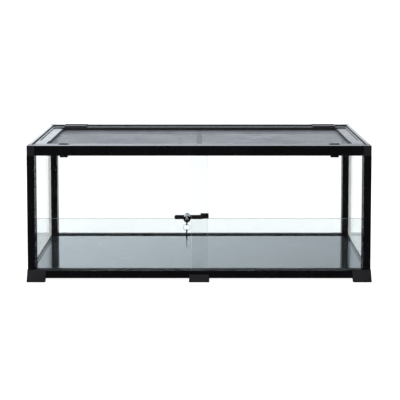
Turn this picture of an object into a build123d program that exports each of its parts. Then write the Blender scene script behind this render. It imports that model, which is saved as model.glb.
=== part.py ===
from build123d import *
import os

# Sliding-door display case, in mm. +X is the viewer's right, the doors face -Y and +Z is up.
# Origin: on the table, at the middle of the overall footprint from the keys to the rear feet.

# ---- case and frame ----
case_width = 1219.0
case_depth = 457.0
frame_bottom = 13.4  # underside of the frame, held up by the feet
frame_top = 489.0
front_post = (27.5, 34.0)  # width, depth
rear_post = (26.0, 30.0)
side_rail_width = 30.0
track_rail_top = 42.0  # bottom front rail, where the door track lies in it
barrier_rail_top = 36.3  # the same rail behind the track
wall_rail_top = 36.2  # bottom side and rear rails
top_rail_bottom = 453.2
lid_seat = 469.0  # ledge that the lid lies on
front_lip = 19.0
side_lip = 11.0
rear_lip = 18.5
wall = 3.0

# ---- fixed glass ----
pane = 5.0
gasket_wall = 1.0
groove_width = pane + 2 * gasket_wall
side_groove = (2.0, 2.0 + groove_width)  # glazing grooves, measured in from the outer face
rear_groove = (7.0, 7.0 + groove_width)
groove_depth = 8.0
floor_glass = 6.0
floor_ledge_top = 25.7
floor_ledge_bottom = 21.7  # of the overhanging ledge behind the front rail
floor_ledge_width = 8.0
floor_gap = 0.5
barrier_pane = 4.0
barrier_front = 25.0  # from the front face
barrier_slot = (24.5, 29.5)
barrier_bottom = 31.5
barrier_top = 221.0

# ---- door tracks, from the front face ----
track_depth = (3.0, 21.8)
outer_slot = (4.6, 10.9)
inner_slot = (13.9, 20.2)
track_bottom = 35.0
track_floor = 37.0
track_roof = 465.8
track_top = 467.3

# ---- doors ----
door_glass = 5.0
door_bottom = 37.2
door_top = 460.6
door_seat = 4.5  # how far each door enters the post's slot
door_slot_depth = 6.0
left_door_edge = 30.5
right_door_edge = -27.5

# ---- lid ----
lid_side_gap = 12.8  # lid's edges, in from the frame's outer faces
lid_end_gap = 24.5
lid_top = 484.0
lid_front_width = 40.5
lid_rear_width = 20.5
lid_side_width = 43.7
lid_skin = 4.0
lid_corner = 10.0
side_rib = 7.4  # raised outer rib of each side member
side_flat = 481.0  # lower flat beside the rib
side_flat_start = 126.0  # from the frame's front face
side_flat_end = 49.0  # from the rear face
screen_flange = 8.0
screen_level = 473.4
screen_thickness = 0.6
spline = 4.0
cross_bar_width = 19.0

# ---- hinges ----
hinge_span = (459.0, 549.0)  # distance from the middle of the case
hinge_axis_in = 21.6  # from the rear face
hinge_axis_z = 490.2
knuckle_radius = 3.0
knuckle_gap = 0.4
knuckles = 5
pin_radius = 1.5
running_fit = 0.05  # radial

# ---- latches ----
latch_x = 485.5
latch_in = 43.0  # from the front face
stem_radius = 4.0
tongue_span = (439.3, 452.7)

# ---- lock ----
lock_x = -42.5
lock_z = 233.0
lock_radius = 12.5
lock_front = -22.0  # from the front face, minus is in front of it
lock_back = 14.2
plug_radius = 6.0
plug_back = 8.0
plug_proud = 0.8
bar_front = 11.4
bar_thickness = 1.6
bar_height = (223.0, 238.2)
bar_end = -88.0
hook_height = (225.5, 242.0)
hook_start = 5.0
hook_outside = 34.0
hook_back = 21.8

# ---- keys and ring ----
key_head = (33.0, 25.0, 5.0)  # length, width, thickness
key_blade = (27.0, 6.8, 2.0)
key_shoulder = 4.0
key_slot = (19.0, 5.0)
key_rim = 3.0
ring_radius = 12.0
ring_wire = 0.5  # radius of each of its two coils
ring_drop = 8.45  # ring's centre below the middle of the key head's rim
ring_hang = 1.0  # middle of the wire, inside the spare key's rim

# ---- feet ----
foot_size = 67.0
foot_height = 44.0  # of the front pair
rear_foot_height = 36.0
foot_proud = 5.0
foot_lean = 3.0  # how far the feet lean towards the middle at their tops
centre_foot_width = 73.0
centre_foot_height = 27.0
centre_foot_taper = 2.5
foot_skin = 3.0
foot_leg = 10.0

# ---- places that follow from the sizes ----
ring_reach = plug_proud - lock_front + key_shoulder + key_head[0] - key_rim - key_slot[1] / 2
key_reach = ring_reach + key_head[1] / 2  # the hanging spare key stands furthest in front
front_y = (key_reach - foot_proud - case_depth) / 2
rear_y = front_y + case_depth
right_x = case_width / 2
rail_end_x = right_x - front_post[0]
rear_rail_end_x = right_x - rear_post[0]
hinge_axis_y = rear_y - hinge_axis_in
groove_top = top_rail_bottom + groove_depth

os.makedirs("parts", exist_ok=True)


def from_front(*distances):
    """Y positions of distances measured back from the frame's front face."""
    return tuple(front_y + d for d in distances)


def from_rear(*distances):
    """Y positions, in rising order, of distances measured forward from the rear face."""
    return tuple(sorted(rear_y - d for d in distances))


def from_side(*distances):
    """X positions, in rising order, of distances measured in from the right-hand face."""
    return tuple(sorted(right_x - d for d in distances))


def both_ways(distance):
    """Range from minus a distance to plus it."""
    return (-distance, distance)


def inset(span, amount):
    """Range shortened by an amount at both ends."""
    return (span[0] + amount, span[1] - amount)


def save(piece, name):
    """Label one finished piece and write it to its own STEP file."""
    piece.part.label = name
    export_step(piece.part, f"parts/{name}.step")


def save_pair(piece, name):
    """Write the right-hand piece and its left-hand mirror image."""
    save(piece, f"{name}_right")
    with BuildPart() as twin:
        mirror(piece.part, about=Plane.YZ)
    save(twin, f"{name}_left")


def rect(u, v, mode=Mode.ADD):
    """Rectangle filling two ranges of the sketch in progress."""
    with Locations((sum(u) / 2, sum(v) / 2)):
        Rectangle(u[1] - u[0], v[1] - v[0], mode=mode)


def block(x, y, z, mode=Mode.ADD):
    """Block filling three ranges of the part in progress."""
    with Locations((sum(x) / 2, sum(y) / 2, sum(z) / 2)):
        Box(x[1] - x[0], y[1] - y[0], z[1] - z[0], mode=mode)


def rod(start, direction, radius, length, mode=Mode.ADD):
    """Round bar from a point along a direction, in the part in progress."""
    with Locations(Plane(origin=start, z_dir=direction)):
        Cylinder(radius, length, align=(Align.CENTER, Align.CENTER, Align.MIN), mode=mode)


# ---------------------------------------------------------------- frame screws
corner_screw = (2.0, 46.0)  # shank radius and length
corner_head = (4.0, 2.2)
front_screw = (12.4, 32.0)  # distance from the front face, height
rear_screw = (11.0, 24.0)  # distance from the rear face, height
side_screw = (22.0, 18.0)  # distance from the side face, height; passes below the other two
corner_recess = 1.2


def screw(point, direction, shank, head, recess, mode=Mode.ADD):
    """Countersunk cross-head screw with its head flush at the point, or its hole."""
    middle = (Align.CENTER, Align.CENTER, Align.MIN)
    with Locations(Plane(origin=point, z_dir=direction)):
        Cone(head[0], shank[0], head[1], align=middle, mode=mode)
        Cylinder(shank[0], shank[1], align=middle, mode=mode)
        if mode == Mode.ADD:
            arm = head[0] * 1.1
            Box(arm, arm / 4, recess * 2, mode=Mode.SUBTRACT)
            Box(arm / 4, arm, recess * 2, mode=Mode.SUBTRACT)


def corner_screws(mode=Mode.ADD):
    """The right-hand corner screws, as solids or as their holes."""
    for y, z in ((front_y + front_screw[0], front_screw[1]), (rear_y - rear_screw[0], rear_screw[1])):
        screw((right_x, y, z), (-1, 0, 0), corner_screw, corner_head, corner_recess, mode)
    for y, inward in ((front_y, 1), (rear_y, -1)):
        point = (right_x - side_screw[0], y, side_screw[1])
        screw(point, (0, inward, 0), corner_screw, corner_head, corner_recess, mode)


def drill_both_ends():
    """Screw holes at both ends of the symmetrical rail in progress."""
    corner_screws(Mode.SUBTRACT)
    mirror(mode=Mode.REPLACE, about=Plane.YZ)
    corner_screws(Mode.SUBTRACT)


with BuildPart() as frame_screws:
    corner_screws()
    mirror(about=Plane.YZ)
save(frame_screws, "frame_screws")

# ---------------------------------------------------------------- bottom rails
front_cavity = (frame_bottom + wall, barrier_bottom - wall)
side_cavity = (frame_bottom + wall, floor_ledge_top - wall)
groove_floor = wall_rail_top - groove_depth

with BuildPart() as bottom_rail_front:
    with BuildSketch(Plane.YZ.offset(-rail_end_x)):
        rect(from_front(0, barrier_slot[0]), (frame_bottom, track_rail_top))
        rect(from_front(barrier_slot[0], front_post[1]), (frame_bottom, barrier_rail_top))
        rect(from_front(*track_depth), (track_bottom, track_rail_top), Mode.SUBTRACT)
        rect(from_front(*barrier_slot), (barrier_bottom, barrier_rail_top), Mode.SUBTRACT)
        rect(from_front(*inset((0, front_post[1]), wall)), front_cavity, Mode.SUBTRACT)
    extrude(amount=2 * rail_end_x)
    ledge_x = both_ways(right_x - side_rail_width - floor_gap)
    ledge_y = from_front(front_post[1], front_post[1] + floor_ledge_width)
    block(ledge_x, ledge_y, (floor_ledge_bottom, floor_ledge_top))
    drill_both_ends()
save(bottom_rail_front, "bottom_rail_front")

with BuildPart() as bottom_rail_rear:
    with BuildSketch(Plane.YZ.offset(-rear_rail_end_x)):
        rect(from_rear(0, rear_post[1]), (frame_bottom, floor_ledge_top))
        rect(from_rear(0, rear_lip), (floor_ledge_top, wall_rail_top))
        rect(from_rear(*rear_groove), (groove_floor, wall_rail_top), Mode.SUBTRACT)
        rect(from_rear(rear_groove[1] + wall, rear_post[1] - wall), side_cavity, Mode.SUBTRACT)
    extrude(amount=2 * rear_rail_end_x)
    drill_both_ends()
save(bottom_rail_rear, "bottom_rail_rear")

side_rail_start = rear_y - rear_post[1]
side_rail_length = case_depth - front_post[1] - rear_post[1]
with BuildPart() as bottom_rail_side:
    with BuildSketch(Plane.XZ.offset(-side_rail_start)):
        rect(from_side(0, side_rail_width), (frame_bottom, floor_ledge_top))
        rect(from_side(0, side_lip), (floor_ledge_top, wall_rail_top))
        rect(from_side(*side_groove), (groove_floor, wall_rail_top), Mode.SUBTRACT)
        rect(from_side(wall, side_screw[0] - corner_screw[0] - wall), side_cavity, Mode.SUBTRACT)
    extrude(amount=side_rail_length)
    corner_screws(Mode.SUBTRACT)
save_pair(bottom_rail_side, "bottom_rail")

# ---------------------------------------------------------------- posts
front_post_cavity = ((wall, 18.5), (wall, 23.0))  # ranges from the side and from the front face
rear_post_cavity = ((wall, 15.0), (wall, 19.0))
door_slot_x = from_side(front_post[0] - door_slot_depth, front_post[0])
rear_groove_x = from_side(rear_post[0] - groove_depth, rear_post[0])

with BuildPart() as front_post_part:
    with BuildSketch(Plane.XY.offset(frame_bottom)):
        rect(from_side(0, front_post[0]), from_front(0, front_post[1]))
        rect(from_side(*front_post_cavity[0]), from_front(*front_post_cavity[1]), Mode.SUBTRACT)
        groove_y = from_front(front_post[1] - groove_depth, front_post[1])
        rect(from_side(*side_groove), groove_y, Mode.SUBTRACT)
        for slot in (outer_slot, inner_slot, barrier_slot):
            rect(door_slot_x, from_front(*slot), Mode.SUBTRACT)
    extrude(amount=top_rail_bottom - frame_bottom)
    corner_screws(Mode.SUBTRACT)
save_pair(front_post_part, "front_post")

with BuildPart() as rear_post_part:
    with BuildSketch(Plane.XY.offset(frame_bottom)):
        rect(from_side(0, rear_post[0]), from_rear(0, rear_post[1]))
        rect(from_side(*rear_post_cavity[0]), from_rear(*rear_post_cavity[1]), Mode.SUBTRACT)
        groove_y = from_rear(rear_post[1] - groove_depth, rear_post[1])
        rect(from_side(*side_groove), groove_y, Mode.SUBTRACT)
        rect(rear_groove_x, from_rear(*rear_groove), Mode.SUBTRACT)
    extrude(amount=top_rail_bottom - frame_bottom)
    corner_screws(Mode.SUBTRACT)
save_pair(rear_post_part, "rear_post")

# ---------------------------------------------------------------- hinge screws
hinge_screw = (1.5, 6.5)
lid_screw = (1.5, 9.0)
hinge_head = (2.9, 1.4)
hinge_recess = 0.8
hinge_screw_x = (474.0, 504.0, 534.0)
frame_leaf_top = frame_top + 1.8
lid_leaf_top = lid_top + 5.5
frame_screw_y = rear_y - 10.0
lid_screw_y = rear_y - 34.0


def hinge_screws(y, top, size, mode=Mode.ADD):
    """One row of screws down through each hinge leaf, as solids or as their holes."""
    for side in (-1, 1):
        for x in hinge_screw_x:
            screw((side * x, y, top), (0, 0, -1), size, hinge_head, hinge_recess, mode)


with BuildPart() as hinge_screws_frame:
    hinge_screws(frame_screw_y, frame_leaf_top, hinge_screw)
save(hinge_screws_frame, "hinge_screws_frame")

with BuildPart() as hinge_screws_lid:
    hinge_screws(lid_screw_y, lid_leaf_top, lid_screw)
save(hinge_screws_lid, "hinge_screws_lid")

# ---------------------------------------------------------------- top rails
lip_cavity = (lid_seat + wall, frame_top - wall)
ledge_cavity_x = (24.8, front_post[1] - wall)  # behind the track
ledge_cavity_z = (459.0, 466.0)

with BuildPart() as top_rail_front:
    with BuildSketch(Plane.YZ.offset(-rail_end_x)):
        rect(from_front(0, front_post[1]), (top_rail_bottom, lid_seat))
        rect(from_front(0, front_lip), (lid_seat, frame_top))
        rect(from_front(*track_depth), (top_rail_bottom, track_top), Mode.SUBTRACT)
        rect(from_front(wall, front_lip - wall), lip_cavity, Mode.SUBTRACT)
        rect(from_front(*ledge_cavity_x), ledge_cavity_z, Mode.SUBTRACT)
    extrude(amount=2 * rail_end_x)
save(top_rail_front, "top_rail_front")

with BuildPart() as top_rail_rear:
    with BuildSketch(Plane.YZ.offset(-rear_rail_end_x)):
        rect(from_rear(0, rear_post[1]), (top_rail_bottom, lid_seat))
        rect(from_rear(0, rear_lip), (lid_seat, frame_top))
        rect(from_rear(*rear_groove), (top_rail_bottom, groove_top), Mode.SUBTRACT)
        rect(from_rear(wall, rear_lip - wall), lip_cavity, Mode.SUBTRACT)
    extrude(amount=2 * rear_rail_end_x)
    hinge_screws(frame_screw_y, frame_leaf_top, hinge_screw, Mode.SUBTRACT)
save(top_rail_rear, "top_rail_rear")

with BuildPart() as top_rail_side:
    with BuildSketch(Plane.XZ.offset(-side_rail_start)):
        rect(from_side(0, side_rail_width), (top_rail_bottom, lid_seat))
        rect(from_side(0, side_lip), (lid_seat, frame_top))
        rect(from_side(*side_groove), (top_rail_bottom, groove_top), Mode.SUBTRACT)
        rect(from_side(wall, side_lip - wall), lip_cavity, Mode.SUBTRACT)
    extrude(amount=side_rail_length)
save_pair(top_rail_side, "top_rail")

# ---------------------------------------------------------------- top corner connectors
corner_round = 1.5
post_tenon = 20.0
tenon_length = 15.0
tenon_gap = 0.1
tenon_z = inset(lip_cavity, tenon_gap)


def lip_tenon(lip):
    """Width range of the tenon that fills the cavity of a lip."""
    return inset((0, lip), wall + tenon_gap)


def corner_block(post, lip, place):
    """Body of a right-hand corner: as wide as its post, stepped down to the lid's seat."""
    block(from_side(0, post[0]), place(0, post[1]), (top_rail_bottom, frame_top))
    outermost = edges().filter_by(Axis.Z).group_by(Axis.X)[-1]
    fillet(outermost.sort_by(lambda e: abs(e.center().Y))[-1], corner_round)
    step = (lid_seat, frame_top)
    block(from_side(side_lip, post[0]), place(lip, post[1]), step, Mode.SUBTRACT)
    groove_y = place(post[1] - groove_depth, post[1])
    block(from_side(*side_groove), groove_y, (top_rail_bottom, groove_top), Mode.SUBTRACT)


def corner_tenons(post, lip, cavity, place):
    """Tenons that run from a corner into the two lips and down into the post."""
    block(from_side(post[0], post[0] + tenon_length), place(*lip_tenon(lip)), tenon_z)
    block(from_side(*lip_tenon(side_lip)), place(post[1], post[1] + tenon_length), tenon_z)
    plug_x = from_side(*inset(cavity[0], tenon_gap))
    plug_y = place(*inset(cavity[1], tenon_gap))
    block(plug_x, plug_y, (top_rail_bottom - post_tenon, top_rail_bottom))


with BuildPart() as top_corner_front:
    corner_block(front_post, front_lip, from_front)
    for slot in (outer_slot, inner_slot):
        block(door_slot_x, from_front(*slot), (top_rail_bottom, track_roof), Mode.SUBTRACT)
    corner_tenons(front_post, front_lip, front_post_cavity, from_front)
save_pair(top_corner_front, "top_corner_front")

with BuildPart() as top_corner_rear:
    corner_block(rear_post, rear_lip, from_rear)
    block(rear_groove_x, from_rear(*rear_groove), (top_rail_bottom, groove_top), Mode.SUBTRACT)
    corner_tenons(rear_post, rear_lip, rear_post_cavity, from_rear)
save_pair(top_corner_rear, "top_corner_rear")

# ---------------------------------------------------------------- feet
foot_corner = 4.0
foot_plug = 7.0
foot_rib = 2.0
foot_plate = frame_bottom - foot_skin  # underside of the plate that the frame stands on


def around(middle, size):
    """Range of a size round a middle."""
    return (middle - size / 2, middle + size / 2)


def corner_foot(corner_y, toward, top, plug_x, plug_y):
    """Leaning shoe round one right-hand corner; toward is the direction of the case's middle."""
    with BuildPart() as foot:
        middle_x = right_x + foot_proud - foot_size / 2
        middle_y = corner_y + toward * (foot_size / 2 - foot_proud)
        for height, lean in ((0, 0), (top, foot_lean)):
            with BuildSketch(Plane.XY.offset(height)):
                with Locations((middle_x - lean, middle_y + toward * lean)):
                    RectangleRounded(foot_size, foot_size, foot_corner)
        loft()
        inside_x = (right_x - 2 * foot_size, right_x)
        inside_y = sorted((corner_y, corner_y + toward * 2 * foot_size))
        block(inside_x, inside_y, (frame_bottom, top), Mode.SUBTRACT)
        open_x = (inside_x[0], right_x + foot_proud - foot_leg)
        open_y = sorted((corner_y + toward * (foot_leg - foot_proud), corner_y + toward * 2 * foot_size))
        block(open_x, open_y, (0, foot_plate), Mode.SUBTRACT)
        block(plug_x, plug_y, (frame_bottom, frame_bottom + foot_plug))
    return foot


front_plug_x = from_side(*inset(front_post_cavity[0], tenon_gap))
front_plug_y = from_front(*inset(front_post_cavity[1], tenon_gap))
rear_plug_x = from_side(*inset(rear_post_cavity[0], tenon_gap))
rear_plug_y = from_rear(*inset(rear_post_cavity[1], tenon_gap))
save_pair(corner_foot(front_y, 1, foot_height, front_plug_x, front_plug_y), "foot_front")
save_pair(corner_foot(rear_y, -1, rear_foot_height, rear_plug_x, rear_plug_y), "foot_rear")


def centre_foot(name, face_y, toward, depth):
    """Shoe under the middle of a bottom rail, with a lip up the rail's outer face."""
    with BuildPart() as foot:
        middle_y = face_y + toward * (depth / 2 - foot_proud / 2)
        size = (centre_foot_width, depth + foot_proud)
        with BuildSketch():
            with Locations((0, middle_y)):
                RectangleRounded(*size, foot_skin)
        extrude(amount=centre_foot_height, taper=centre_foot_taper)
        inside_y = sorted((face_y, face_y + toward * 2 * depth))
        block(both_ways(size[0]), inside_y, (frame_bottom, centre_foot_height), Mode.SUBTRACT)
        hollow_x = around(0, size[0] - 2 * foot_leg)
        hollow_y = around(middle_y, size[1] - foot_leg)
        block(hollow_x, hollow_y, (0, foot_plate), Mode.SUBTRACT)
        block(around(0, foot_rib), hollow_y, (0, foot_plate))
    save(foot, name)


centre_foot("foot_centre_front", front_y, 1, front_post[1])
centre_foot("foot_centre_rear", rear_y, -1, rear_post[1])

# ---------------------------------------------------------------- fixed glass
front_glazing_y = front_y + front_post[1] - groove_depth
rear_glazing_y = rear_y - rear_post[1] + groove_depth
glazing_x = right_x - rear_post[0] + groove_depth
glazing_z = (groove_floor, groove_top)
window_z = (wall_rail_top, top_rail_bottom)
pane_z = inset(glazing_z, gasket_wall)
side_pane_x = from_side(*inset(side_groove, gasket_wall))
side_pane_y = inset((front_glazing_y, rear_glazing_y), gasket_wall)
rear_pane_x = both_ways(glazing_x - gasket_wall)
rear_pane_y = from_rear(*inset(rear_groove, gasket_wall))

with BuildPart() as side_glass:
    block(side_pane_x, side_pane_y, pane_z)
save_pair(side_glass, "side_glass")

with BuildPart() as rear_glass:
    block(rear_pane_x, rear_pane_y, pane_z)
save(rear_glass, "rear_glass")

with BuildPart() as side_gaskets:
    window_y = (front_y + front_post[1], rear_y - rear_post[1])
    block(from_side(*side_groove), (front_glazing_y, rear_glazing_y), glazing_z)
    block(from_side(*side_groove), window_y, window_z, Mode.SUBTRACT)
    block(side_pane_x, side_pane_y, pane_z, Mode.SUBTRACT)
    mirror(about=Plane.YZ)
save(side_gaskets, "side_gaskets")

with BuildPart() as rear_gasket:
    block(both_ways(glazing_x), from_rear(*rear_groove), glazing_z)
    block(both_ways(rear_rail_end_x), from_rear(*rear_groove), window_z, Mode.SUBTRACT)
    block(rear_pane_x, rear_pane_y, pane_z, Mode.SUBTRACT)
save(rear_gasket, "rear_gasket")

floor_x = right_x - side_lip - floor_gap
floor_y = (front_y + front_post[1] + floor_gap, rear_y - rear_lip - floor_gap)
floor_z = (floor_ledge_top, floor_ledge_top + floor_glass)
with BuildPart() as base_glass:
    block(both_ways(floor_x), floor_y, floor_z)
    for side in (-1, 1):
        corner_x = sorted((side * (rear_rail_end_x - floor_gap), side * floor_x))
        block(corner_x, (rear_y - rear_post[1] - floor_gap, floor_y[1]), floor_z, Mode.SUBTRACT)
save(base_glass, "base_glass")

barrier_end_gap = 1.5
barrier_x = rail_end_x + door_slot_depth - barrier_end_gap
barrier_edge = 0.5
with BuildPart() as barrier_glass:
    barrier_y = from_front(barrier_front, barrier_front + barrier_pane)
    block(both_ways(barrier_x), barrier_y, (barrier_bottom, barrier_top))
    chamfer(edges().filter_by(Axis.X).group_by(Axis.Z)[-1], barrier_edge)
save(barrier_glass, "barrier_glass")

# ---------------------------------------------------------------- door tracks
with BuildPart() as lower_track:
    with BuildSketch(Plane.YZ.offset(-rail_end_x)):
        rect(from_front(*track_depth), (track_bottom, track_rail_top))
        for slot in (outer_slot, inner_slot):
            rect(from_front(*slot), (track_floor, track_rail_top), Mode.SUBTRACT)
    extrude(amount=2 * rail_end_x)
save(lower_track, "lower_track")

with BuildPart() as upper_track:
    with BuildSketch(Plane.YZ.offset(-rail_end_x)):
        rect(from_front(*track_depth), (top_rail_bottom, track_top))
        for slot in (outer_slot, inner_slot):
            rect(from_front(*slot), (top_rail_bottom, track_roof), Mode.SUBTRACT)
    extrude(amount=2 * rail_end_x)
save(upper_track, "upper_track")

# ---------------------------------------------------------------- doors
door_outside = rail_end_x + door_seat
door_edge = 0.6


def door(name, x, slot):
    """Frameless glass door standing in one slot of the tracks, its upright edges ground."""
    with BuildPart() as glass:
        block(x, around(front_y + sum(slot) / 2, door_glass), (door_bottom, door_top))
        chamfer(edges().filter_by(Axis.Z), door_edge)
    save(glass, name)


door("left_door_glass", (-door_outside, left_door_edge), inner_slot)
door("right_door_glass", (right_door_edge, door_outside), outer_slot)

# ---------------------------------------------------------------- lid
lid_x = right_x - lid_side_gap
lid_front_y = front_y + lid_end_gap
lid_rear_y = rear_y - lid_end_gap
front_inner_y = lid_front_y + lid_front_width
rear_inner_y = lid_rear_y - lid_rear_width
side_inner_x = lid_x - lid_side_width
lid_z = (lid_seat, lid_top)
lid_hollow = (lid_seat, lid_top - lid_skin)
side_hollow = (lid_seat, side_flat - lid_skin)
flange_z = (lid_seat, screen_level)
lid_edge = 0.8

with BuildPart() as lid_front:
    block(both_ways(lid_x), (lid_front_y, front_inner_y), lid_z)
    fillet(edges().filter_by(Axis.Z).group_by(Axis.Y)[0], lid_corner)
    fillet(edges().group_by(Axis.Z)[-1], lid_edge)
    hollow_y = inset((lid_front_y, front_inner_y), wall)
    block(both_ways(lid_x - lid_corner), hollow_y, lid_hollow, Mode.SUBTRACT)
    flange_y = (front_inner_y, front_inner_y + screen_flange)
    block(both_ways(side_inner_x), flange_y, flange_z)
    for side in (-1, 1):
        boss = (side * latch_x, front_y + latch_in, lid_seat)
        rod(boss, (0, 0, 1), stem_radius + wall, lid_hollow[1] - lid_seat)
        rod(boss, (0, 0, 1), stem_radius + running_fit, lid_top - lid_seat, Mode.SUBTRACT)
save(lid_front, "lid_front")

with BuildPart() as lid_rear:
    block(both_ways(lid_x), (rear_inner_y, lid_rear_y), lid_z)
    fillet(edges().filter_by(Axis.Z).group_by(Axis.Y)[-1], lid_corner)
    fillet(edges().group_by(Axis.Z)[-1], lid_edge)
    hollow_y = inset((rear_inner_y, lid_rear_y), wall)
    block(both_ways(lid_x - lid_corner), hollow_y, lid_hollow, Mode.SUBTRACT)
    flange_y = (rear_inner_y - screen_flange, rear_inner_y)
    block(both_ways(side_inner_x), flange_y, flange_z)
    hinge_screws(lid_screw_y, lid_leaf_top, lid_screw, Mode.SUBTRACT)
save(lid_rear, "lid_rear")

with BuildPart() as lid_side:
    side_y = (front_inner_y, rear_inner_y)
    block((side_inner_x, lid_x), side_y, lid_z)
    fillet(edges().filter_by(Axis.Y).group_by(Axis.Z)[-1], lid_edge)
    flat_y = (front_y + side_flat_start, rear_y - side_flat_end)
    block((side_inner_x, lid_x - side_rib), flat_y, (side_flat, lid_top), Mode.SUBTRACT)
    block(inset((side_inner_x, lid_x), wall), inset(side_y, wall), side_hollow, Mode.SUBTRACT)
    flange_x = (side_inner_x - screen_flange, side_inner_x)
    block(flange_x, inset(side_y, screen_flange), flange_z)
save_pair(lid_side, "lid_side")

screen_z = (screen_level, screen_level + screen_thickness)
screen_y = (front_inner_y, rear_inner_y)
with BuildPart() as lid_screen:
    block(both_ways(side_inner_x), screen_y, screen_z)
save(lid_screen, "lid_screen")

with BuildPart() as screen_spline:
    spline_z = (screen_z[1], screen_z[1] + spline)
    block(both_ways(side_inner_x), screen_y, spline_z)
    block(both_ways(side_inner_x - spline), inset(screen_y, spline), spline_z, Mode.SUBTRACT)
save(screen_spline, "screen_spline")

cross_bar_plate = 2.4
cross_bar_web = (3.0, 10.0)  # thickness, depth below the screen
with BuildPart() as lid_cross_bar:
    bar_start = front_inner_y + screen_flange
    plate_bottom = screen_level - cross_bar_plate
    with BuildSketch(Plane.XZ.offset(-bar_start)):
        rect(around(0, cross_bar_width), (plate_bottom, screen_level))
        rect(around(0, cross_bar_web[0]), (screen_level - cross_bar_web[1], plate_bottom))
    extrude(amount=-(rear_inner_y - screen_flange - bar_start))
save(lid_cross_bar, "lid_cross_bar")

# ---------------------------------------------------------------- hinges
leaf_gap = 0.4
frame_leaf_back = 2.0  # bare strip left behind the frame leaf
web_lift = 0.2
lid_web = 3.0
pin_length = hinge_span[1] - hinge_span[0]
pin_start = (hinge_span[0], hinge_axis_y, hinge_axis_z)


def knuckle_row(first, root_y, root_z):
    """Every second knuckle from the first, each with the web that joins it to its leaf."""
    pitch = pin_length / knuckles
    for i in range(first, knuckles, 2):
        start = hinge_span[0] + i * pitch + knuckle_gap / 2
        length = pitch - knuckle_gap
        rod((start, hinge_axis_y, hinge_axis_z), (1, 0, 0), knuckle_radius, length)
        block((start, start + length), root_y, root_z)


with BuildPart() as hinge_leaf_frame:
    leaf_edge = hinge_axis_y + knuckle_radius + leaf_gap
    block(hinge_span, (leaf_edge, rear_y - frame_leaf_back), (frame_top, frame_leaf_top))
    knuckle_row(0, (hinge_axis_y, leaf_edge), (frame_top + web_lift, frame_leaf_top))
    rod(pin_start, (1, 0, 0), pin_radius, pin_length, Mode.SUBTRACT)
    hinge_screws(frame_screw_y, frame_leaf_top, hinge_screw, Mode.SUBTRACT)
save_pair(hinge_leaf_frame, "hinge_leaf_frame")

with BuildPart() as hinge_leaf_lid:
    leaf_edge = hinge_axis_y - knuckle_radius - leaf_gap
    block(hinge_span, (rear_inner_y, leaf_edge), (lid_top, lid_leaf_top))
    knuckle_row(1, (leaf_edge, hinge_axis_y), (lid_leaf_top - lid_web, lid_leaf_top))
    rod(pin_start, (1, 0, 0), pin_radius + running_fit, pin_length, Mode.SUBTRACT)
    hinge_screws(lid_screw_y, lid_leaf_top, lid_screw, Mode.SUBTRACT)
save_pair(hinge_leaf_lid, "hinge_leaf_lid")

with BuildPart() as hinge_pins:
    rod(pin_start, (1, 0, 0), pin_radius, pin_length)
    mirror(about=Plane.YZ)
save(hinge_pins, "hinge_pins")

# ---------------------------------------------------------------- latches
knob_size = (41.0, 20.0)
knob_gap = 0.3
knob_base = 2.4
knob_height = 5.5
knob_edge = 1.0
grip = (34.0, 6.0)
stem_flat = 5.0
tongue_size = (29.0, 10.0)
tongue_corner = 2.0
latch_y = front_y + latch_in
knob_bottom = lid_top + knob_gap

with BuildPart() as latch_knob:
    with BuildSketch(Plane.XY.offset(knob_bottom)):
        with Locations((latch_x, latch_y)):
            Ellipse(knob_size[0] / 2, knob_size[1] / 2)
    extrude(amount=knob_base)
    with BuildSketch(Plane.XY.offset(knob_bottom + knob_base)):
        with Locations((latch_x, latch_y)):
            SlotOverall(*grip)
    extrude(amount=knob_height - knob_base)
    fillet(edges().group_by(Axis.Z)[-1], knob_edge)
    stem_bottom = (latch_x, latch_y, tongue_span[1])
    rod(stem_bottom, (0, 0, 1), stem_radius, knob_bottom - tongue_span[1])
    block(around(latch_x, stem_flat), around(latch_y, stem_flat), tongue_span)
save_pair(latch_knob, "latch_knob")

with BuildPart() as latch_tongue:
    with BuildSketch(Plane.XY.offset(tongue_span[0])):
        with Locations((latch_x, latch_y)):
            RectangleRounded(*tongue_size, tongue_corner)
            Rectangle(stem_flat, stem_flat, mode=Mode.SUBTRACT)
    extrude(amount=tongue_span[1] - tongue_span[0])
save_pair(latch_tongue, "latch_tongue")

# ---------------------------------------------------------------- lock
bar_y = from_front(bar_front, bar_front + bar_thickness)
hook_y = from_front(bar_front, hook_back)
hook_round = 1.4
bar_round = 5.9
bar_tip = 6.0  # length of the rounded tip up to the middle of its curves
tooth_pitch = 3.0
tooth_depth = 0.5
tooth_margin = 2.0
tooth_count = 26

with BuildPart() as lock_bar:
    block((hook_start, hook_outside), hook_y, hook_height)
    fillet(edges().filter_by(Axis.Z).group_by(Axis.X)[-1], hook_round)
    gap_y = (bar_y[1], hook_y[1] - bar_thickness)
    block((hook_start, hook_outside - bar_thickness), gap_y, hook_height, Mode.SUBTRACT)
    with BuildSketch(Plane.XZ.offset(-bar_y[1])):
        rect((bar_end + bar_tip, hook_start + bar_tip), bar_height)
        with Locations((bar_end + bar_tip, sum(bar_height) / 2)):
            RectangleRounded(2 * bar_tip, bar_height[1] - bar_height[0], bar_round)
    extrude(amount=bar_thickness)
    teeth_start = bar_end + bar_tip + tooth_margin
    for i in range(tooth_count):
        tooth_x = (teeth_start + i * tooth_pitch, teeth_start + (i + 0.5) * tooth_pitch)
        tooth_y = (bar_y[0], bar_y[0] + tooth_depth)
        block(tooth_x, tooth_y, inset(bar_height, tooth_margin), Mode.SUBTRACT)
save(lock_bar, "lock_bar")

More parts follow.
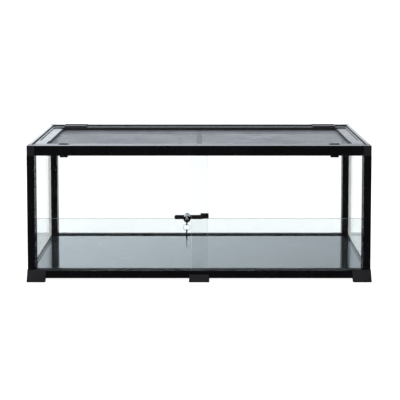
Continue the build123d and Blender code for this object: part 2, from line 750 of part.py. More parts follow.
bar_clearance = 0.2
barrel_edge = 1.5
pawl_bore_radius = 4.6
with BuildPart() as lock_body:
    start = (lock_x, front_y + lock_front, lock_z)
    rod(start, (0, 1, 0), lock_radius, lock_back - lock_front)
    chamfer(edges().filter_by(GeomType.CIRCLE).group_by(Axis.Y)[0], barrel_edge)
    bar_slot_y = inset(bar_y, -bar_clearance)
    bar_slot_z = inset(bar_height, -bar_clearance)
    block(around(lock_x, 3 * lock_radius), bar_slot_y, bar_slot_z, Mode.SUBTRACT)
    plug_bore = plug_back - lock_front + bar_clearance
    rod(start, (0, 1, 0), plug_radius + running_fit, plug_bore, Mode.SUBTRACT)
    pawl_bore = bar_front - bar_clearance - plug_back
    rod((lock_x, front_y + plug_back, lock_z), (0, 1, 0), pawl_bore_radius, pawl_bore, Mode.SUBTRACT)
save(lock_body, "lock_body")

keyway = (2.2, 27.0, 7.0)  # width, depth, height
pawl_pin = (2.6, 1.5)  # distance off the plug's axis, radius
pawl_gap = 0.4
plug_face = front_y + lock_front - plug_proud
with BuildPart() as lock_plug:
    rod((lock_x, plug_face, lock_z), (0, 1, 0), plug_radius, front_y + plug_back - plug_face)
    keyway_y = (plug_face, plug_face + keyway[1])
    block(around(lock_x, keyway[0]), keyway_y, around(lock_z, keyway[2]), Mode.SUBTRACT)
    pin_base = (lock_x, front_y + plug_back, lock_z + pawl_pin[0])
    rod(pin_base, (0, 1, 0), pawl_pin[1], bar_front - plug_back - pawl_gap)
save(lock_plug, "lock_plug")

# ---------------------------------------------------------------- keys
bow_round = 6.0
bow_edge = 1.2
blade_inside = 8.0  # length of blade held in the head
blade_tip = 3.0
first_cut = 5.0
cut_pitch = 4.5
cut_width = 2.2
cut_depths = (1.2, 2.0, 0.8, 1.6)


def key_pieces(plane, name):
    """Key head and blade. The plane's x axis runs from the head along the blade."""
    length, width, thickness = key_head
    blade_length, blade_width, blade_thickness = key_blade
    half_width = blade_width / 2
    tip = key_shoulder + blade_length
    slot_middle = -length + key_rim + key_slot[1] / 2
    with BuildPart() as head:
        with BuildSketch(plane):
            with Locations((-length / 2, 0)):
                RectangleRounded(length, width, bow_round)
            with Locations((slot_middle, 0)):
                SlotOverall(key_slot[0], key_slot[1], rotation=90, mode=Mode.SUBTRACT)
        extrude(amount=thickness / 2, both=True)
        faces_x = edges().group_by(lambda e: round(abs(e.center().X - plane.origin.X), 3))
        fillet(faces_x[-1], bow_edge)
        with BuildSketch(plane):
            rect((-blade_inside, 0), (-half_width, half_width))
        extrude(amount=blade_thickness / 2, both=True, mode=Mode.SUBTRACT)
    save(head, f"{name}_head")
    with BuildPart() as blade:
        with BuildSketch(plane):
            with BuildLine():
                Polyline(
                    (-blade_inside, -half_width),
                    (tip - blade_tip, -half_width),
                    (tip, 0),
                    (tip - blade_tip, half_width),
                    (-blade_inside, half_width),
                    close=True,
                )
            make_face()
            for i, cut in enumerate(cut_depths):
                with Locations((key_shoulder + first_cut + cut_pitch * i, -half_width)):
                    Rectangle(cut_width, cut * 2, mode=Mode.SUBTRACT)
        extrude(amount=blade_thickness / 2, both=True)
    save(blade, f"{name}_blade")


key_end_y = plug_face - key_shoulder
key_pieces(Plane(origin=(lock_x, key_end_y, lock_z), x_dir=(0, 1, 0), z_dir=(1, 0, 0)), "key")

ring_y = front_y - ring_reach
ring_pivot_z = lock_z - key_slot[0] / 2 - key_rim / 2
ring_z = ring_pivot_z - ring_drop
spare_pivot_z = ring_z - ring_radius
spare_end_z = spare_pivot_z + key_rim + ring_hang - key_head[0]
spare_plane = Plane(origin=(lock_x, ring_y, spare_end_z), x_dir=(0, 0, -1), z_dir=(1, 0, 0))
key_pieces(spare_plane, "spare_key")

coil_offset = ring_wire * 0.9  # each coil's distance from the ring's middle plane
with BuildPart() as key_ring:
    with BuildSketch(Plane.YZ.offset(lock_x)):
        for side in (-1, 1):
            with Locations((ring_y + side * coil_offset, ring_z + ring_radius)):
                Circle(ring_wire)
    revolve(axis=Axis((lock_x, ring_y, ring_z), (0, 1, 0)), revolution_arc=360)
save(key_ring, "key_ring")
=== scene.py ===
import math

import bmesh
import bpy
import numpy as np
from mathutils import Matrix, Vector


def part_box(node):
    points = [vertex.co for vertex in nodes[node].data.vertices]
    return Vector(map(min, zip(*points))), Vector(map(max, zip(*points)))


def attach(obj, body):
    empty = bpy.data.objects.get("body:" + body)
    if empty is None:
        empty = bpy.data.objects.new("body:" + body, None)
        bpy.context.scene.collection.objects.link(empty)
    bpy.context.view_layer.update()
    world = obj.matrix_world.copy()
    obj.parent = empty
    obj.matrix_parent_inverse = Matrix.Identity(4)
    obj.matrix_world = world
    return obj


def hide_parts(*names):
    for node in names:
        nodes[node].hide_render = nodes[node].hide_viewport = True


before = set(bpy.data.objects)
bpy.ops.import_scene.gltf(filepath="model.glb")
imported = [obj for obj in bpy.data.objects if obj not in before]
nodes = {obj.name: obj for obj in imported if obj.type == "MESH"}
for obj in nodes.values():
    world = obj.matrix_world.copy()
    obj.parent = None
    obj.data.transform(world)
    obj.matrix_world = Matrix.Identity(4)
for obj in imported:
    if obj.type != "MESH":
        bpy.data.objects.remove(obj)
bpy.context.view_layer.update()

MM = 0.001
slot_of = {name: part.data.materials[0].name.split(".")[0] for name, part in nodes.items()}

# ---- camera, in metres and degrees ----
CAMERA_X = 0.018
CAMERA_DISTANCE = 2.710  # from the case's front face
CAMERA_HEIGHT = 1.0211
CAMERA_PITCH = 2.937
CAMERA_LENS = 69.745
CAMERA_SIDE_SHIFT = -0.0105  # lens shifts, as shares of the frame's width
CAMERA_SHIFT = -0.4138
SENSOR_WIDTH = 36.0  # mm, like the lens
SAME_PLACE = 0.01  # how close to its place the camera must stand for the lens shifts to apply

# ---- studio ----
BACKDROP = 1.26  # white of the room as the camera sees it
FLOOR_GLOW = 0.96  # part of that white which the floor gives off by itself
DARK_FRONT = 0.035  # the room before the case, in reflections
FLOOR_MIRRORED = 1.6  # floor behind the case, in reflections
BEHIND_CASE = (0.26, 0.36)  # depths between which the floor changes from the one to the other
REAR_LEFT = 2.2  # brightness behind the case at its left and right, in reflections
REAR_RIGHT = 1.4
OVERHEAD = 0.9
ROOM_LIGHT = 0.95
FLOOR_HALF = 14.0
FLOOR_DROP = 0.2 * MM  # keeps the floor clear of the feet's soles

# ---- lid screen ----
WIRE_PITCH = 3.0 * MM
WIRE_RADIUS = 0.27 * MM
WIRE_SIDES = 6
WIRE_STEP = 30.0 * MM
SCREEN_SAG = 2.0 * MM
SCREEN_HEM = 2.0 * MM  # from the plain sheet's edge to the outermost wires
CLAMPED_EDGE = 9.0 * MM  # width held in the lid's members
CLAMPED_MIDDLE = 10.0 * MM  # half width held by the cross bar

# ---- surfaces; scales are in features per metre ----
CLOUD_SCALE = 14.0
SMUDGE_SCALE = 55.0
WEAR_SCALE = 160.0
DUST_SCALE = 260.0
GRIND_SCALE = 900.0
STREAK = 0.05  # how far die lines are drawn out
GLASS_IOR = 1.5
PAINTED_SHADE_REMAINDER = 0.3  # what is left of the screen's colour where the rear member's shade is painted onto it
FRAME_BLACK = (0.0028, 0.0028, 0.0036)
POLISHED_BLACK = (0.0036, 0.0036, 0.0046)
WORN_FRAME = (0.012, 0.012, 0.013)
LID_BLACK = (0.0055, 0.0055, 0.0065)
WORN_LID = (0.02, 0.02, 0.021)
FRAME_GRAIN = 0.7 * MM
LID_GRAIN = 0.9 * MM
PAINT_WEAR = 0.5 * MM
FRAME_COAT = {"X": 0.0, "Y": 0.45, "Z": 0.0}  # by the member's long axis
LID_COAT = {"X": 0.0, "Y": 0.03, "Z": 0.0}
LID_SHINE = {"X": 0.08, "Y": 0.33, "Z": 0.2}

# ---- shading of the CAD meshes ----
WELD_DISTANCE = 0.002 * MM
SMOOTH_BELOW = math.radians(28.0)
BEVEL_ABOVE = math.radians(40.0)

# ---- split ring ----
RING_TURNS = 2
RING_STEPS = 96
RING_SIDES = 10
RING_WIRE = 0.48 * MM
RING_PITCH = 0.98 * MM
RING_JOG = (0.44, 0.56)  # shares of the wire between which it crosses to the other coil
RING_TIP = 0.45  # thickness of the wire's ends
RING_TAPER = 0.25  # length of each end's taper, in radians


# ---------------------------------------------------------------- node helpers
def add(tree, kind, inputs=None, **settings):
    """Adds one shader node; inputs may be values or other nodes' outputs."""
    node = tree.nodes.new("ShaderNode" + kind)
    for key, value in settings.items():
        setattr(node, key, value)
    for key, value in (inputs or {}).items():
        if isinstance(value, bpy.types.NodeSocket):
            tree.links.new(value, node.inputs[key])
        else:
            node.inputs[key].default_value = value
    return node


def maths(tree, operation, a, b=0.0, clamp=False):
    """Result of one arithmetic node."""
    return add(tree, "Math", {0: a, 1: b}, operation=operation, use_clamp=clamp).outputs[0]


def ramp(tree, value, low, high, start=0.0, end=1.0, smooth=True):
    """Value rescaled from one range to another, clamped."""
    kind = "SMOOTHSTEP" if smooth else "LINEAR"
    inputs = {"Value": value, "From Min": low, "From Max": high, "To Min": start, "To Max": end}
    return add(tree, "MapRange", inputs, interpolation_type=kind).outputs["Result"]


def blend_colour(tree, factor, first, second):
    """Mix of two colours."""
    node = add(tree, "Mix", {"Factor": factor}, data_type="RGBA")
    for socket, value in ((node.inputs[6], first), (node.inputs[7], second)):
        if isinstance(value, bpy.types.NodeSocket):
            tree.links.new(value, socket)
        else:
            socket.default_value = (*value, 1.0)
    return node.outputs[2]


def noise(tree, vector, scale, detail=2.0, roughness=0.5):
    """Noise value over a vector; the scale is in features per metre."""
    inputs = {"Vector": vector, "Scale": scale, "Detail": detail, "Roughness": roughness}
    return add(tree, "TexNoise", inputs).outputs["Fac"]


def new_material(name):
    """Empty node material and its output node."""
    material = bpy.data.materials.new(name)
    material.use_nodes = True
    tree = material.node_tree
    tree.nodes.clear()
    return material, tree, add(tree, "OutputMaterial")


def edge_mask(tree, radius):
    """0 on flat faces, rising to 1 along edges."""
    rounded = add(tree, "Bevel", {"Radius": radius}, samples=4).outputs["Normal"]
    flat = add(tree, "NewGeometry").outputs["Normal"]
    inputs = {0: rounded, 1: flat}
    across = add(tree, "VectorMath", inputs, operation="DOT_PRODUCT").outputs["Value"]
    return ramp(tree, across, 0.995, 0.86)


# ---------------------------------------------------------------- materials
def textured(name, colour, worn, rough, grain, bump, specular=0.5, metallic=0.0, coat=0.0,
             along=None, wear_width=0.0, painted_rear_shade=None):
    """Opaque surface with cloudy colour, uneven gloss, fine grain and edges worn lighter.

    grain is the size of one grain, bump its height and along the axis that its streaks follow.
    The rear-shade range gives the depths over which the rear member's shade is painted into the colour,
    darker towards the rear.
    Lengths are in metres.
    """
    material, tree, output = new_material(name)
    place = add(tree, "TexCoord").outputs["Object"]
    cloud = noise(tree, place, CLOUD_SCALE, 4.0, 0.6)
    fine_place = place
    if along:
        stretch = [STREAK if axis == along else 1.0 for axis in "XYZ"]
        fine_place = add(tree, "Mapping", {"Vector": place, "Scale": stretch}).outputs["Vector"]
    fine = noise(tree, fine_place, 1.0 / grain, 3.0, 0.65)
    smudge = noise(tree, place, SMUDGE_SCALE, 5.0, 0.55)

    shade = ramp(tree, cloud, 0.3, 0.7, 0.86, 1.14)
    speckle = ramp(tree, fine, 0.3, 0.7, 0.84, 1.16)
    base = add(tree, "VectorMath", {0: colour, 3: maths(tree, "MULTIPLY", shade, speckle)},
               operation="SCALE").outputs["Vector"]
    if painted_rear_shade:
        # painted shade: the colour is darkened towards the rear in place of the rear member's shadow
        painted_shade_factor = ramp(tree, add(tree, "SeparateXYZ", {0: place}).outputs["Y"], *painted_rear_shade, 1.0, PAINTED_SHADE_REMAINDER)
        base = add(tree, "VectorMath", {0: base, 3: painted_shade_factor}, operation="SCALE").outputs["Vector"]
    if wear_width:
        patchy = ramp(tree, noise(tree, place, WEAR_SCALE, 3.0), 0.45, 0.7)
        wear = maths(tree, "MULTIPLY", edge_mask(tree, wear_width), patchy)
        base = blend_colour(tree, wear, base, worn)
    gloss = maths(tree, "MULTIPLY", ramp(tree, smudge, 0.35, 0.7, 0.85, 1.2), rough)
    gloss = maths(tree, "MULTIPLY", ramp(tree, fine, 0.3, 0.7, 0.9, 1.1), gloss)
    normal = add(tree, "Bump", {"Height": fine, "Strength": 0.6, "Distance": bump}).outputs["Normal"]
    surface = add(tree, "BsdfPrincipled", {
        "Base Color": base,
        "Roughness": gloss,
        "Metallic": metallic,
        "Specular IOR Level": specular,
        "Coat Weight": coat,
        "Coat Roughness": rough * 0.6,
        "Normal": normal,
    })
    tree.links.new(surface.outputs["BSDF"], output.inputs["Surface"])
    return material


def profile_paint(axis):
    """Satin black paint on an extruded profile, with faint die lines along its length."""
    return textured(f"black_profile_{axis}", FRAME_BLACK, WORN_FRAME, 0.24, FRAME_GRAIN, 0.004 * MM,
                    specular=0.2, coat=FRAME_COAT[axis], along=axis, wear_width=PAINT_WEAR)


def glossy_rail_paint():
    """The same paint polished, on the bottom side rails under the glazing."""
    return textured("polished_black_profile", POLISHED_BLACK, WORN_FRAME, 0.08, FRAME_GRAIN, 0.005 * MM,
                    specular=1.0, coat=1.0, along="Y", wear_width=PAINT_WEAR)


def lid_paint(axis):
    """Satin black lid moulding with faint draw lines along its length."""
    return textured(f"satin_lid_{axis}", LID_BLACK, WORN_LID, 0.2, LID_GRAIN, 0.01 * MM,
                    specular=LID_SHINE[axis], coat=LID_COAT[axis], along=axis, wear_width=PAINT_WEAR)


def rear_moulding_paint():
    """Matt black of the lid's rear member and its hinge leaves."""
    return textured("matte_rear_moulding", LID_BLACK, WORN_LID, 0.5, LID_GRAIN, 0.01 * MM,
                    specular=0.9, along="X", wear_width=PAINT_WEAR)


def pane_glass(name, normal_axis, tint=(0.984, 0.992, 0.992)):
    """Clear float glass: see-through faces, a mirror image at a glancing angle, and ground green edges. The
    side edges are painted pale as if lit, and the top edges are painted dark as if shaded.
    """
    material, tree, output = new_material(name)
    coords = add(tree, "TexCoord")
    place = coords.outputs["Object"]
    facing = add(tree, "SeparateXYZ", {0: coords.outputs["Normal"]}).outputs
    on_face = maths(tree, "GREATER_THAN", maths(tree, "ABSOLUTE", facing[normal_axis]), 0.9)
    shaded_top_mask = maths(tree, "GREATER_THAN", maths(tree, "ABSOLUTE", facing["Z"]), 0.6)

    backfacing = add(tree, "NewGeometry").outputs["Backfacing"]
    bend = add(tree, "Mix", {"Factor": backfacing, "A": GLASS_IOR, "B": 1.0 / GLASS_IOR}).outputs["Result"]
    mirror_share = add(tree, "Fresnel", {"IOR": bend}).outputs[0]
    clear = add(tree, "BsdfTransparent", {"Color": (*tint, 1.0)}).outputs[0]
    smear = ramp(tree, noise(tree, place, 9.0, 6.0, 0.6), 0.4, 0.75, 0.0, 0.02)
    mirror = add(tree, "BsdfGlossy", {"Roughness": smear}).outputs[0]
    face = add(tree, "MixShader", {"Fac": mirror_share, 1: clear, 2: mirror}).outputs[0]
    dust = ramp(tree, noise(tree, place, DUST_SCALE, 3.0), 0.5, 0.85, 0.0, 0.008)
    film = add(tree, "BsdfDiffuse", {"Color": (0.8, 0.84, 0.84, 1.0)}).outputs[0]
    face = add(tree, "MixShader", {"Fac": dust, 1: face, 2: film}).outputs[0]

    grind = noise(tree, place, GRIND_SCALE, 2.0)
    # painted light and shade: edges facing sideways are painted pale as if lit, edges facing up or down are
    # painted dark and let less through as if in shade
    pale = blend_colour(tree, grind, (0.42, 0.52, 0.51), (0.6, 0.7, 0.69))
    shaded_top_edge_colour = blend_colour(tree, grind, (0.03, 0.042, 0.041), (0.06, 0.08, 0.077))
    edge_colour_lit_or_shaded = blend_colour(tree, shaded_top_mask, pale, shaded_top_edge_colour)
    ground = add(tree, "BsdfPrincipled", {"Base Color": edge_colour_lit_or_shaded, "Roughness": 0.3}).outputs[0]
    through = add(tree, "BsdfTransparent", {"Color": (0.72, 0.85, 0.82, 1.0)}).outputs[0]
    see_through = ramp(tree, shaded_top_mask, 0.0, 1.0, 0.45, 0.1, smooth=False)
    edge = add(tree, "MixShader", {"Fac": see_through, 1: ground, 2: through}).outputs[0]
    whole = add(tree, "MixShader", {"Fac": on_face, 1: edge, 2: face}).outputs[0]
    tree.links.new(whole, output.inputs["Surface"])
    return material


def dark_glass(name):
    """Dark tinted floor glass: near-black body under a polished, faintly smudged surface."""
    material, tree, output = new_material(name)
    place = add(tree, "TexCoord").outputs["Object"]
    cloud = noise(tree, place, 5.0, 5.0, 0.6)
    body = blend_colour(tree, cloud, (0.018, 0.024, 0.028), (0.03, 0.036, 0.040))
    wipe = add(tree, "Mapping", {"Vector": place, "Scale": (3.0, 14.0, 1.0)}).outputs["Vector"]
    gloss = ramp(tree, noise(tree, wipe, 1.6, 6.0, 0.65), 0.35, 0.8, 0.015, 0.09)
    ripple = noise(tree, place, 4.0, 1.0)
    normal = add(tree, "Bump", {"Height": ripple, "Strength": 0.05, "Distance": 0.002}).outputs["Normal"]
    surface = add(tree, "BsdfPrincipled", {
        "Base Color": body,
        "Roughness": gloss,
        "IOR": 1.52,
        "Specular IOR Level": 0.62,
        "Coat Weight": 0.6,
        "Coat Roughness": 0.02,
        "Normal": normal,
    })
    tree.links.new(surface.outputs["BSDF"], output.inputs["Surface"])
    return material


screen_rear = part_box("lid_screen")[1].y
# depths over which the rear member's shade is painted onto the screen wire
screen_painted_shade_depths = (screen_rear - 60.0 * MM, screen_rear - 15.0 * MM)
materials = {
    "connector_plastic": textured(
        "moulded_nylon", (0.009, 0.009, 0.0115), (0.05, 0.05, 0.055), 0.36, 0.5 * MM, 0.09 * MM,
        specular=0.45, wear_width=1.0 * MM),
    "foot_plastic": textured(
        "grained_foot_plastic", (0.0125, 0.013, 0.017), (0.04, 0.04, 0.045), 0.5, 0.6 * MM, 0.12 * MM,
        specular=0.35, wear_width=1.2 * MM),
    "track_plastic": textured(
        "extruded_track_plastic", (0.006, 0.006, 0.007), (0.03, 0.03, 0.03), 0.4, 0.8 * MM, 0.04 * MM,
        specular=0.4, along="X"),
    "gasket_rubber": textured(
        "gasket_rubber", (0.006, 0.006, 0.006), (0.02, 0.02, 0.02), 0.7, 0.6 * MM, 0.08 * MM,
        specular=0.3),
    "screen_wire": textured(
        "coated_wire", (0.19, 0.205, 0.235), (0.3, 0.3, 0.3), 0.5, 0.4 * MM, 0.01 * MM,
        specular=0.35, painted_rear_shade=screen_painted_shade_depths),
    "zinc_steel": textured(
        "blackened_steel", (0.03, 0.03, 0.033), (0.25, 0.25, 0.26), 0.3, 0.3 * MM, 0.02 * MM,
        specular=0.6, metallic=0.3, wear_width=0.6 * MM),
    "lock_chrome": textured(
        "polished_chrome", (0.1, 0.102, 0.108), (0.25, 0.25, 0.25), 0.2, 0.5 * MM, 0.01 * MM,
        metallic=1.0, along="Y"),
    "lock_plug": textured(
        "brushed_lock_plug", (0.32, 0.32, 0.33), (0.6, 0.6, 0.6), 0.35, 0.3 * MM, 0.01 * MM,
        metallic=0.4, along="X"),
    "bar_black": textured(
        "black_coated_steel", (0.006, 0.006, 0.0075), (0.1, 0.1, 0.1), 0.3, 0.4 * MM, 0.03 * MM,
        wear_width=0.5 * MM),
    "key_plastic": textured(
        "glossy_key_plastic", (0.006, 0.006, 0.007), (0.04, 0.04, 0.04), 0.16, 0.6 * MM, 0.02 * MM,
        coat=0.3),
    "key_steel": textured(
        "nickel_plated_steel", (0.55, 0.54, 0.5), (0.7, 0.7, 0.68), 0.2, 0.4 * MM, 0.01 * MM,
        metallic=1.0, along="Z"),
    "floor_glass": dark_glass("tinted_floor_glass"),
    "lid_rear": rear_moulding_paint(),
    "barrier_glass": pane_glass("clear_glass_barrier", "Y", (0.955, 0.972, 0.975)),
}
profile_paints = {axis: profile_paint(axis) for axis in "XYZ"}
lid_paints = {axis: lid_paint(axis) for axis in "XYZ"}
rail_paint = glossy_rail_paint()
for side in ("left", "right"):
    materials[f"bottom_rail_{side}"] = rail_paint
    materials[f"hinge_leaf_frame_{side}"] = materials["lid_rear"]
    materials[f"hinge_leaf_lid_{side}"] = materials["lid_rear"]
front_glass = pane_glass("clear_glass_front", "Y")
side_glass = pane_glass("clear_glass_side", "X")


def length_axis(name):
    """Axis along which a node is longest."""
    low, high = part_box(name)
    return "XYZ"[max(range(3), key=lambda i: high[i] - low[i])]


def material_for(name):
    """Finish of one CAD node: its own, or that of its slot."""
    slot = slot_of[name]
    if name in materials:
        return materials[name]
    if slot == "clear_glass":
        return side_glass if name.startswith("side_glass") else front_glass
    if slot == "frame_black":
        return profile_paints[length_axis(name)]
    if slot == "lid_plastic":
        return lid_paints[length_axis(name)]
    return materials[slot]


# ---------------------------------------------------------------- CAD nodes
def clean_shading():
    """Modifier group that welds a mesh and shades it smooth except across sharp edges."""
    group = bpy.data.node_groups.new("weld_and_shade", "GeometryNodeTree")
    group.interface.new_socket("Geometry", in_out="INPUT", socket_type="NodeSocketGeometry")
    group.interface.new_socket("Geometry", in_out="OUTPUT", socket_type="NodeSocketGeometry")
    start = group.nodes.new("NodeGroupInput")
    end = group.nodes.new("NodeGroupOutput")
    weld = group.nodes.new("GeometryNodeMergeByDistance")
    weld.inputs["Distance"].default_value = WELD_DISTANCE
    bare = group.nodes.new("GeometryNodeRemoveAttribute")
    bare.inputs["Name"].default_value = "custom_normal"
    angle = group.nodes.new("GeometryNodeInputMeshEdgeAngle")
    sharp = group.nodes.new("FunctionNodeCompare")
    sharp.operation = "LESS_THAN"
    sharp.inputs["B"].default_value = SMOOTH_BELOW
    faces = group.nodes.new("GeometryNodeSetShadeSmooth")
    edges = group.nodes.new("GeometryNodeSetShadeSmooth")
    edges.domain = "EDGE"
    link = group.links.new
    link(start.outputs[0], bare.inputs["Geometry"])
    link(bare.outputs["Geometry"], weld.inputs["Geometry"])
    link(weld.outputs["Geometry"], faces.inputs["Geometry"])
    link(faces.outputs["Geometry"], edges.inputs["Geometry"])
    link(angle.outputs["Unsigned Angle"], sharp.inputs["A"])
    link(sharp.outputs["Result"], edges.inputs["Shade Smooth"])
    link(edges.outputs["Geometry"], end.inputs[0])
    return group


shading = clean_shading()
bevels = {  # widths in mm, by slot
    "frame_black": 0.6,
    "connector_plastic": 0.8,
    "foot_plastic": 1.2,
    "lid_plastic": 0.4,
    "track_plastic": 0.25,
    "zinc_steel": 0.3,
    "bar_black": 0.25,
    "floor_glass": 0.6,
}


def dress(name, part):
    """Gives a CAD node its finish, clean shading and softened edges."""
    finish = material_for(name)
    for place in part.material_slots:
        place.material = finish
    welder = part.modifiers.new("shading", "NODES")
    welder.node_group = shading
    width = bevels.get(slot_of[name])
    if width:
        softener = part.modifiers.new("soft_edges", "BEVEL")
        softener.width = width * MM
        softener.segments = 2
        softener.limit_method = "ANGLE"
        softener.angle_limit = BEVEL_ABOVE
        softener.harden_normals = True


for node_name, node_part in nodes.items():
    dress(node_name, node_part)


# ---------------------------------------------------------------- new pieces
def tube(path, sides, radius, across=None):
    """Vertices and faces of a round tube along a path, an array of points, with closed ends."""
    path = np.asarray(path, float)
    along = np.gradient(path, axis=0)
    along /= np.linalg.norm(along, axis=1)[:, None]
    reference = np.array(across or (0.0, 0.0, 1.0))
    first = np.cross(along, reference)
    first /= np.linalg.norm(first, axis=1)[:, None]
    second = np.cross(along, first)
    radii = np.broadcast_to(radius, len(path))[:, None, None]
    angles = np.arange(sides) * 2 * math.pi / sides
    circle = np.cos(angles)[None, :, None] * first[:, None]
    circle = circle + np.sin(angles)[None, :, None] * second[:, None]
    points = (path[:, None] + radii * circle).reshape(-1, 3)
    i, j = np.meshgrid(np.arange(len(path) - 1), np.arange(sides), indexing="ij")
    k = (j + 1) % sides
    corners = [i * sides + j, (i + 1) * sides + j, (i + 1) * sides + k, i * sides + k]
    quads = np.stack(corners, -1).reshape(-1, 4)
    caps = [list(range(sides)), list(range(len(points) - 1, len(points) - sides - 1, -1))]
    return points, quads.tolist() + caps


def piece_from(name, tubes):
    """One smooth mesh object made of several tubes."""
    points, faces, count = [], [], 0
    for tube_points, tube_faces in tubes:
        points.append(tube_points)
        faces.extend([[v + count for v in face] for face in tube_faces])
        count += len(tube_points)
    mesh = bpy.data.meshes.new(name)
    mesh.from_pydata(np.concatenate(points).tolist(), [], faces)
    mesh.polygons.foreach_set("use_smooth", [len(face) == 4 for face in faces])
    built = bpy.data.objects.new(name, mesh)
    bpy.context.scene.collection.objects.link(built)
    return built


def wire_screen():
    """Welded wire screen of the lid: two crossed layers of round wire, sagging a little."""
    low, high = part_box("lid_screen")
    middle = (low.z + high.z) / 2

    def sag(x, y):
        """Depth below the clamped level at one place."""
        half_length = high.x - CLAMPED_EDGE - CLAMPED_MIDDLE
        u = np.clip((np.abs(x) - CLAMPED_MIDDLE) / half_length, 0, 1)
        v = np.clip((y - low.y - CLAMPED_EDGE) / (high.y - low.y - 2 * CLAMPED_EDGE), 0, 1)
        return SCREEN_SAG * np.sin(math.pi * u) * np.sin(math.pi * v)

    def places(start, end, step):
        """Evenly spaced positions, about one step apart."""
        return np.linspace(start, end, max(2, round((end - start) / step) + 1))

    def strand(x, y, level):
        """One wire; either x or y is a single value."""
        x, y = np.broadcast_arrays(x, y)
        return tube(np.stack([x, y, level - sag(x, y)], -1), WIRE_SIDES, WIRE_RADIUS)

    left, right = low.x + SCREEN_HEM, high.x - SCREEN_HEM
    near, far = low.y + SCREEN_HEM, high.y - SCREEN_HEM
    layer = WIRE_RADIUS * 0.9  # the welded layers bite a little into each other
    strands = [strand(x, places(near, far, WIRE_STEP), middle + layer)
               for x in places(left, right, WIRE_PITCH)]
    strands += [strand(places(left, right, WIRE_STEP), y, middle - layer)
                for y in places(near, far, WIRE_PITCH)]
    screen = piece_from("wire_screen", strands)
    screen.data.materials.append(materials["screen_wire"])
    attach(screen, "lid")
    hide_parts("lid_screen")


def split_ring():
    """Key ring: one wire wound twice round, thinner at its ends."""
    low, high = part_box("key_ring")
    centre = (low + high) / 2
    radius = (high.z - low.z) / 2 - RING_WIRE
    turn = np.linspace(0.0, RING_TURNS * 2 * math.pi, RING_TURNS * RING_STEPS)
    share = turn / turn[-1]
    x = centre.x + radius * np.sin(turn)
    z = centre.z + radius * np.cos(turn)
    jog = np.clip((share - RING_JOG[0]) / (RING_JOG[1] - RING_JOG[0]), 0, 1)
    y = centre.y + RING_PITCH * (jog * jog * (3 - 2 * jog) - 0.5)
    ends = np.minimum(share, 1 - share) * RING_TURNS * 2 * math.pi
    taper = RING_WIRE * (RING_TIP + (1 - RING_TIP) * np.clip(ends / RING_TAPER, 0, 1))
    ring = piece_from("split_ring", [tube(np.stack([x, y, z], -1), RING_SIDES, taper, (0.0, 1.0, 0.0))])
    ring.data.materials.append(materials["key_steel"])
    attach(ring, "ring")
    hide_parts("key_ring")


wire_screen()
split_ring()


# ---------------------------------------------------------------- studio
def studio_world():
    """White room for the eye; in reflections, a bright backdrop behind the case and a dark room before it."""
    world = bpy.data.worlds.new("studio")
    bpy.context.scene.world = world
    world.use_nodes = True
    world.cycles.sampling_method = "NONE"
    tree = world.node_tree
    tree.nodes.clear()
    output = add(tree, "OutputWorld")
    way = add(tree, "SeparateXYZ", {0: add(tree, "TexCoord").outputs["Generated"]}).outputs
    rear = ramp(tree, way["Y"], 0.0, 0.7)
    side = ramp(tree, way["X"], -0.25, 0.25, REAR_LEFT, REAR_RIGHT)
    above = ramp(tree, way["Z"], 0.35, 0.95, 0.0, OVERHEAD)
    mirrored = maths(tree, "ADD", maths(tree, "MULTIPLY", rear, side), above)
    mirrored = maths(tree, "ADD", mirrored, DARK_FRONT)
    rays = add(tree, "LightPath").outputs
    inputs = {"Factor": rays["Is Glossy Ray"], "A": ROOM_LIGHT, "B": mirrored}
    level = add(tree, "Mix", inputs).outputs["Result"]
    inputs = {"Factor": rays["Is Camera Ray"], "A": level, "B": BACKDROP}
    seen = add(tree, "Mix", inputs).outputs["Result"]
    tint = blend_colour(tree, rays["Is Glossy Ray"], (1.0, 1.0, 1.0), (0.93, 0.99, 1.06))
    shown = add(tree, "Background", {"Color": tint, "Strength": seen}).outputs[0]
    tree.links.new(shown, output.inputs["Surface"])


def floor_material():
    """Pale matt floor, as white as the room to the eye; in reflections, bright only behind the case."""
    material, tree, output = new_material("pale_floor")
    place = add(tree, "TexCoord").outputs["Object"]
    tone = ramp(tree, noise(tree, place, 3.0, 4.0), 0.3, 0.7, 0.93, 0.97)
    rays = add(tree, "LightPath").outputs
    share = add(tree, "Mix", {"Factor": rays["Is Camera Ray"], "A": 1.0, "B": 0.3}).outputs["Result"]
    paint = add(tree, "BsdfDiffuse", {"Color": maths(tree, "MULTIPLY", tone, share)}).outputs[0]
    glow = maths(tree, "MULTIPLY", rays["Is Camera Ray"], FLOOR_GLOW)
    light = add(tree, "Emission", {"Color": (1.0, 1.0, 1.0, 1.0), "Strength": glow}).outputs[0]
    bright = add(tree, "AddShader", {0: paint, 1: light}).outputs[0]
    depth = add(tree, "SeparateXYZ", {0: place}).outputs["Y"]
    behind = ramp(tree, depth, *BEHIND_CASE, DARK_FRONT, FLOOR_MIRRORED)
    shade = add(tree, "Emission", {"Color": (1.0, 1.0, 1.0, 1.0), "Strength": behind}).outputs[0]
    whole = add(tree, "MixShader", {"Fac": rays["Is Glossy Ray"], 1: bright, 2: shade}).outputs[0]
    tree.links.new(whole, output.inputs["Surface"])
    return material


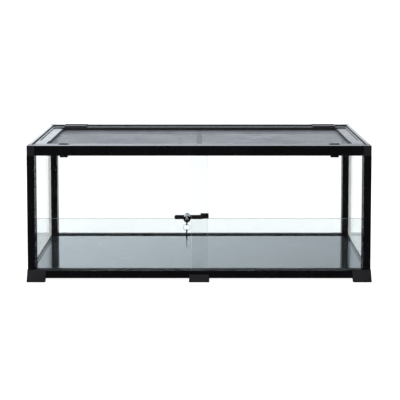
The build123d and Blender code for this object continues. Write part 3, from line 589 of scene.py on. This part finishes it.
def floor():
    """Wide floor under the case."""
    mesh = bpy.data.meshes.new("studio_floor")
    shape = bmesh.new()
    corners = [shape.verts.new((x * FLOOR_HALF, y * FLOOR_HALF, -FLOOR_DROP))
               for x, y in ((-1, -1), (1, -1), (1, 1), (-1, 1))]
    shape.faces.new(corners)
    shape.to_mesh(mesh)
    shape.free()
    ground = bpy.data.objects.new("studio_floor", mesh)
    ground.data.materials.append(floor_material())
    bpy.context.scene.collection.objects.link(ground)


def softbox(name, place, target, size, power):
    """Rectangular soft light turned towards a point; its power is in watts."""
    light = bpy.data.lights.new(name, "AREA")
    light.shape = "RECTANGLE"
    light.size, light.size_y = size
    light.energy = power
    lamp = bpy.data.objects.new(name, light)
    lamp.location = place
    lamp.rotation_euler = (Vector(target) - Vector(place)).to_track_quat("-Z", "Y").to_euler()
    bpy.context.scene.collection.objects.link(lamp)


def camera():
    """Camera in front of the case; its lens shift applies only from this place."""
    front_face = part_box("front_post_left")[0].y
    place = (CAMERA_X, front_face - CAMERA_DISTANCE, CAMERA_HEIGHT)
    lens = bpy.data.cameras.new("camera")
    lens.sensor_width = SENSOR_WIDTH
    lens.lens = CAMERA_LENS
    eye = bpy.data.objects.new("camera", lens)
    eye.location = place
    eye.rotation_euler = (math.radians(90.0 - CAMERA_PITCH), 0.0, 0.0)
    bpy.context.scene.collection.objects.link(eye)
    bpy.context.scene.camera = eye
    for path, amount in (("shift_x", CAMERA_SIDE_SHIFT), ("shift_y", CAMERA_SHIFT)):
        shift = lens.driver_add(path).driver
        shift.type = "SCRIPTED"
        for name, source in (("height", "location.z"), ("depth", "location.y")):
            value = shift.variables.new()
            value.name = name
            value.targets[0].id = eye
            value.targets[0].data_path = source
        level = f"abs(height - {place[2]:.4f}) < {SAME_PLACE}"
        near = f"abs(depth - {place[1]:.4f}) < {SAME_PLACE}"
        shift.expression = f"{amount} if {level} and {near} else 0.0"


studio_world()
floor()
softbox("key_light", (-1.6, -1.4, 2.6), (0.0, 0.0, 0.2), (1.6, 1.2), 45.0)
softbox("top_light", (0.6, 0.5, 2.8), (0.0, 0.0, 0.3), (2.4, 1.4), 40.0)
camera()

scene = bpy.context.scene
scene.view_settings.view_transform = "Standard"
scene.cycles.transparent_max_bounces = 32
scene.cycles.max_bounces = 10
scene.cycles.glossy_bounces = 6
scene.cycles.use_denoising = True
